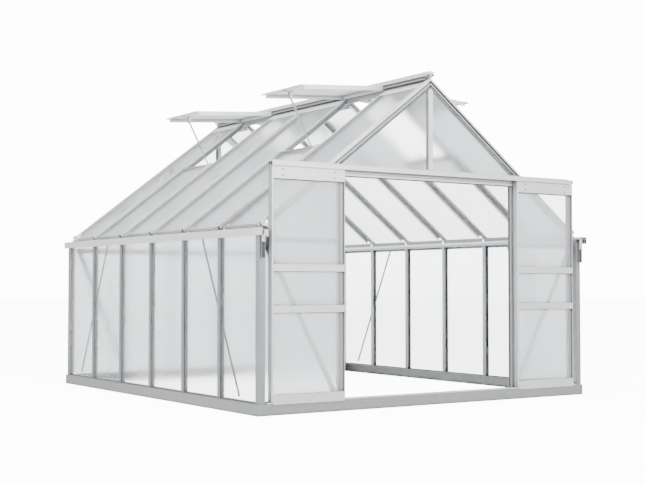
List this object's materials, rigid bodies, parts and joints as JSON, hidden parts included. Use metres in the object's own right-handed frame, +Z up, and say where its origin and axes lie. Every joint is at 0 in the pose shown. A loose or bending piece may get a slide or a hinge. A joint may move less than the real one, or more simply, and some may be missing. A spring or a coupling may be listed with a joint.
{
  "type": "walk-in greenhouse",
  "caption": "Gabled walk-in greenhouse: aluminium bars, twin-wall sheets, telescoping double sliding doors, top-hung roof vents with push-through stays, gutters and a base frame.",
  "frame": {"origin": "on the ground at the centre of the overall box", "axes": "+X across the house to the right seen from outside the doors, +Y from the doors to the back wall, +Z up"},
  "size_m": [3.3302, 3.8077, 2.705],
  "materials": {
    "aluminium": "extruded, pale anodised satin",
    "twin_wall_sheet": "clear twin-wall polycarbonate with fine upright flutes",
    "white_plastic": "moulded white",
    "dark_plastic": "moulded charcoal",
    "plated_steel": "zinc plated"
  },
  "bodies": {
    "house": {"base_rails": "aluminium", "base_joint_plates": "plated_steel", "base_bolts": "plated_steel", "wall_sills": "aluminium", "corner_posts": "aluminium", "side_posts": "aluminium", "side_braces": "aluminium", "eave_beams": "aluminium", "gutters": "aluminium", "gutter_ends": "white_plastic", "downpipes": "dark_plastic", "ridge_beam": "aluminium", "ridge_flashings": "aluminium", "ridge_cap": "aluminium", "roof_bars": "aluminium", "roof_bar_caps": "dark_plastic", "gable_rafters": "aluminium", "rafter_caps": "white_plastic", "vent_sills": "aluminium", "stay_brackets": "aluminium", "door_header": "aluminium", "door_track": "aluminium", "door_jambs": "aluminium", "end_wall_rails": "aluminium", "end_wall_braces": "aluminium", "gable_mullion": "aluminium", "back_posts": "aluminium", "side_panels": "twin_wall_sheet", "roof_panels": "twin_wall_sheet", "front_panels": "twin_wall_sheet", "back_panels": "twin_wall_sheet"},
    "left_front_leaf": {"left_front_leaf_frame": "aluminium", "left_front_leaf_panel": "twin_wall_sheet", "left_front_leaf_hangers": "dark_plastic"},
    "left_rear_leaf": {"left_rear_leaf_frame": "aluminium", "left_rear_leaf_panel": "twin_wall_sheet", "left_rear_leaf_hangers": "dark_plastic"},
    "right_front_leaf": {"right_front_leaf_frame": "aluminium", "right_front_leaf_panel": "twin_wall_sheet", "right_front_leaf_hangers": "dark_plastic"},
    "right_rear_leaf": {"right_rear_leaf_frame": "aluminium", "right_rear_leaf_panel": "twin_wall_sheet", "right_rear_leaf_hangers": "dark_plastic"},
    "vent_front_left": {"vent_frame_front_left": "aluminium", "vent_panel_front_left": "twin_wall_sheet"},
    "stay_front_left": {"vent_stay_front_left": "aluminium"},
    "guide_front_left": {"stay_guide_front_left": "dark_plastic"},
    "vent_front_right": {"vent_frame_front_right": "aluminium", "vent_panel_front_right": "twin_wall_sheet"},
    "stay_front_right": {"vent_stay_front_right": "aluminium"},
    "guide_front_right": {"stay_guide_front_right": "dark_plastic"},
    "vent_back_left": {"vent_frame_back_left": "aluminium", "vent_panel_back_left": "twin_wall_sheet"},
    "stay_back_left": {"vent_stay_back_left": "aluminium"},
    "guide_back_left": {"stay_guide_back_left": "dark_plastic"},
    "vent_back_right": {"vent_frame_back_right": "aluminium", "vent_panel_back_right": "twin_wall_sheet"},
    "stay_back_right": {"vent_stay_back_right": "aluminium"},
    "guide_back_right": {"stay_guide_back_right": "dark_plastic"}
  },
  "joints": [
    {"name": "left_front_leaf_slide", "type": "slide", "parent": "house", "child": "left_front_leaf", "axis": [1, 0, 0], "range_m": [0, 0.889]},
    {"name": "left_rear_leaf_slide", "type": "slide", "parent": "house", "child": "left_rear_leaf", "axis": [1, 0, 0], "range_m": [0, 0.2652]},
    {"name": "right_front_leaf_slide", "type": "slide", "parent": "house", "child": "right_front_leaf", "axis": [-1, 0, 0], "range_m": [0, 0.889]},
    {"name": "right_rear_leaf_slide", "type": "slide", "parent": "house", "child": "right_rear_leaf", "axis": [-1, 0, 0], "range_m": [0, 0.2652]},
    {"name": "vent_hinge_front_left", "type": "hinge", "parent": "house", "child": "vent_front_left", "pos_m": [-0.04451, -0.915, 2.64075], "axis": [0, -1, 0], "range_deg": [0, 32.99]},
    {"name": "stay_pin_front_left", "type": "hinge", "parent": "vent_front_left", "child": "stay_front_left", "pos_m": [-0.79681, -0.915, 2.53537], "axis": [0, -1, 0], "range_deg": [-16.55, 0]},
    {"name": "guide_pin_front_left", "type": "hinge", "parent": "house", "child": "guide_front_left", "pos_m": [-0.56242, -0.915, 2.08502], "axis": [0, -1, 0], "range_deg": [0, 16.55]},
    {"name": "vent_hinge_front_right", "type": "hinge", "parent": "house", "child": "vent_front_right", "pos_m": [0.04451, -0.915, 2.64075], "axis": [0, 1, 0], "range_deg": [0, 32.99]},
    {"name": "stay_pin_front_right", "type": "hinge", "parent": "vent_front_right", "child": "stay_front_right", "pos_m": [0.79681, -0.915, 2.53537], "axis": [0, 1, 0], "range_deg": [-16.55, 0]},
    {"name": "guide_pin_front_right", "type": "hinge", "parent": "house", "child": "guide_front_right", "pos_m": [0.56242, -0.915, 2.08502], "axis": [0, 1, 0], "range_deg": [0, 16.55]},
    {"name": "vent_hinge_back_left", "type": "hinge", "parent": "house", "child": "vent_back_left", "pos_m": [-0.04451, 0.915, 2.64075], "axis": [0, -1, 0], "range_deg": [0, 32.99]},
    {"name": "stay_pin_back_left", "type": "hinge", "parent": "vent_back_left", "child": "stay_back_left", "pos_m": [-0.79681, 0.915, 2.53537], "axis": [0, -1, 0], "range_deg": [-16.55, 0]},
    {"name": "guide_pin_back_left", "type": "hinge", "parent": "house", "child": "guide_back_left", "pos_m": [-0.56242, 0.915, 2.08502], "axis": [0, -1, 0], "range_deg": [0, 16.55]},
    {"name": "vent_hinge_back_right", "type": "hinge", "parent": "house", "child": "vent_back_right", "pos_m": [0.04451, 0.915, 2.64075], "axis": [0, 1, 0], "range_deg": [0, 32.99]},
    {"name": "stay_pin_back_right", "type": "hinge", "parent": "vent_back_right", "child": "stay_back_right", "pos_m": [0.79681, 0.915, 2.53537], "axis": [0, 1, 0], "range_deg": [-16.55, 0]},
    {"name": "guide_pin_back_right", "type": "hinge", "parent": "house", "child": "guide_back_right", "pos_m": [0.56242, 0.915, 2.08502], "axis": [0, 1, 0], "range_deg": [0, 16.55]}
  ],
  "couplings": [
    {"joint": "left_rear_leaf_slide", "follows": "left_front_leaf_slide", "ratio": 0.2981},
    {"joint": "right_rear_leaf_slide", "follows": "right_front_leaf_slide", "ratio": 0.2981},
    {"joint": "stay_pin_front_left", "follows": "vent_hinge_front_left", "ratio": -0.5},
    {"joint": "guide_pin_front_left", "follows": "vent_hinge_front_left", "ratio": 0.5},
    {"joint": "stay_pin_front_right", "follows": "vent_hinge_front_right", "ratio": -0.5},
    {"joint": "guide_pin_front_right", "follows": "vent_hinge_front_right", "ratio": 0.5},
    {"joint": "stay_pin_back_left", "follows": "vent_hinge_back_left", "ratio": -0.5},
    {"joint": "guide_pin_back_left", "follows": "vent_hinge_back_left", "ratio": 0.5},
    {"joint": "stay_pin_back_right", "follows": "vent_hinge_back_right", "ratio": -0.5},
    {"joint": "guide_pin_back_right", "follows": "vent_hinge_back_right", "ratio": 0.5}
  ]
}
